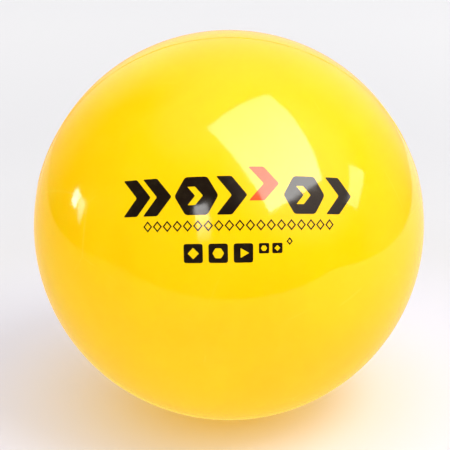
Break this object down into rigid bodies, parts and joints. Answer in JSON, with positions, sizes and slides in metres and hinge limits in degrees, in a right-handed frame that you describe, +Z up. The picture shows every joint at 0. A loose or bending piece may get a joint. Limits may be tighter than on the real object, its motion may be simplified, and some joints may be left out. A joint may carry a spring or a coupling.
{
  "type": "medicine ball",
  "caption": "Small soft-shell weighted medicine ball with a glossy moulded skin, a printed panel, an inflation valve and a loose weight filling.",
  "frame": {"origin": "on the floor under the ball's centre, at the middle of the flat it stands on", "axes": "+Z up, -Y towards the printed side, +Y out through the valve"},
  "size_m": [0.1202, 0.1197, 0.1186],
  "materials": {
    "shell": "gloss",
    "valve_plug": "satin",
    "valve_core": "matte",
    "iron_sand": "matte",
    "print_black": "gloss",
    "print_red": "gloss"
  },
  "bodies": {
    "ball": {"shell": "shell", "valve_plug": "valve_plug", "valve_core": "valve_core"},
    "sand": {"sand_fill": "iron_sand"}
  },
  "joints": [
    {"name": "sand_roll", "type": "hinge", "parent": "ball", "child": "sand", "pos_m": [0, 0, 0.0585], "axis": [0, 1, 0], "continuous": true}
  ]
}
